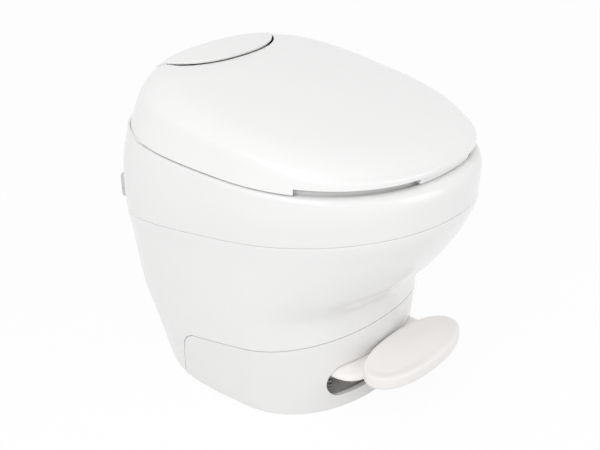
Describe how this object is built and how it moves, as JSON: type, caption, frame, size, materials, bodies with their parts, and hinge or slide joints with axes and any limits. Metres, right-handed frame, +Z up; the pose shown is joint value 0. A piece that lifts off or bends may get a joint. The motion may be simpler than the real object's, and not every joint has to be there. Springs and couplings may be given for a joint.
{
  "type": "rv toilet",
  "caption": "Low caravan toilet with an oval foot pedal that turns a half-ball flush valve, a lipped base shroud, and a hinged seat and crowned lid.",
  "frame": {"origin": "centre of the overall box, on the floor plane that the foot stands on", "axes": "+X to the right as seen from the front, +Y to the rear wall, +Z up; the pedal is at -Y"},
  "size_m": [0.395, 0.4666, 0.4342],
  "materials": {
    "body_white": "gloss moulded white",
    "shroud_white": "gloss moulded white",
    "bowl_white": "high gloss moulded white",
    "lid_white": "gloss moulded white",
    "seat_white": "gloss moulded white",
    "lever_white": "satin moulded white",
    "pad_warm_white": "satin moulded warm white",
    "natural_plastic": "natural acetal",
    "gear_plastic": "moulded acetal",
    "grey_plastic": "moulded grey",
    "pale_plastic": "moulded pale grey",
    "hose": "smooth grey hose",
    "black_rubber": "matt black",
    "grey_rubber": "soft grey",
    "steel": "drawn stainless",
    "inlet_brass": "turned brass",
    "screw_steel": "stainless"
  },
  "bodies": {
    "root": {"pedestal_shell": "body_white", "rim_shell": "body_white", "base_shroud": "shroud_white", "bowl": "bowl_white", "bowl_spigot": "bowl_white", "hinge_cover": "lid_white", "hinge_bracket": "seat_white", "hinge_pin_left": "steel", "hinge_pin_right": "steel", "rinse_nozzle": "seat_white", "valve_housing": "natural_plastic", "valve_collar": "natural_plastic", "valve_foot": "natural_plastic", "housing_cap": "natural_plastic", "base_plate": "natural_plastic", "water_valve": "grey_plastic", "vacuum_breaker": "pale_plastic", "breaker_cap": "pale_plastic", "supply_hose": "hose", "riser_hose": "hose", "rinse_hose": "hose", "throat_seal": "black_rubber", "floor_gasket": "black_rubber", "pivot_pin_left": "steel", "pivot_pin_right": "steel", "return_spring": "steel", "inlet_fitting": "inlet_brass", "hinge_screw_1": "screw_steel", "hinge_screw_2": "screw_steel", "hinge_screw_3": "screw_steel", "hinge_screw_4": "screw_steel", "cap_screw_1": "screw_steel", "cap_screw_2": "screw_steel", "cap_screw_3": "screw_steel", "cap_screw_4": "screw_steel", "housing_screw_1": "screw_steel", "housing_screw_2": "screw_steel", "housing_screw_3": "screw_steel", "housing_screw_4": "screw_steel", "base_screw_1": "screw_steel", "base_screw_2": "screw_steel", "base_screw_3": "screw_steel", "base_screw_4": "screw_steel"},
    "seat": {"seat": "seat_white", "seat_bumper_1": "grey_rubber", "seat_bumper_2": "grey_rubber", "seat_bumper_3": "grey_rubber", "seat_bumper_4": "grey_rubber"},
    "lid": {"lid": "lid_white", "lid_bumper_left": "grey_rubber", "lid_bumper_right": "grey_rubber"},
    "pedal": {"pedal_lever": "lever_white", "pedal_pad": "pad_warm_white", "sector_gear": "gear_plastic", "pad_screw_1": "screw_steel", "pad_screw_2": "screw_steel"},
    "ball": {"flush_ball": "natural_plastic", "ball_shaft": "steel", "ball_pinion": "gear_plastic"},
    "plunger": {"valve_plunger": "steel"}
  },
  "joints": [
    {"name": "seat_hinge", "type": "hinge", "parent": "root", "child": "seat", "pos_m": [0, 0.15885, 0.402], "axis": [-1, 0, 0], "range_deg": [0, 90]},
    {"name": "lid_hinge", "type": "hinge", "parent": "seat", "child": "lid", "pos_m": [0, 0.15885, 0.402], "axis": [-1, 0, 0], "range_deg": [0, 95]},
    {"name": "pedal_pivot", "type": "hinge", "parent": "root", "child": "pedal", "pos_m": [0, -0.04555, 0.078], "axis": [1, 0, 0], "range_deg": [0, 18], "stiffness_Nm_per_rad": 8, "springref_deg": -8.59, "deforming": ["return_spring"]},
    {"name": "ball_turn", "type": "hinge", "parent": "root", "child": "ball", "pos_m": [0, 0.00785, 0.056], "axis": [1, 0, 0], "range_deg": [-81.2, 0]},
    {"name": "plunger_slide", "type": "slide", "parent": "root", "child": "plunger", "axis": [0, 0, 1], "range_m": [0, 0.0128]}
  ],
  "couplings": [
    {"joint": "ball_turn", "follows": "pedal_pivot", "ratio": -4.5},
    {"joint": "plunger_slide", "follows": "pedal_pivot", "m_per_rad": 0.0405}
  ]
}
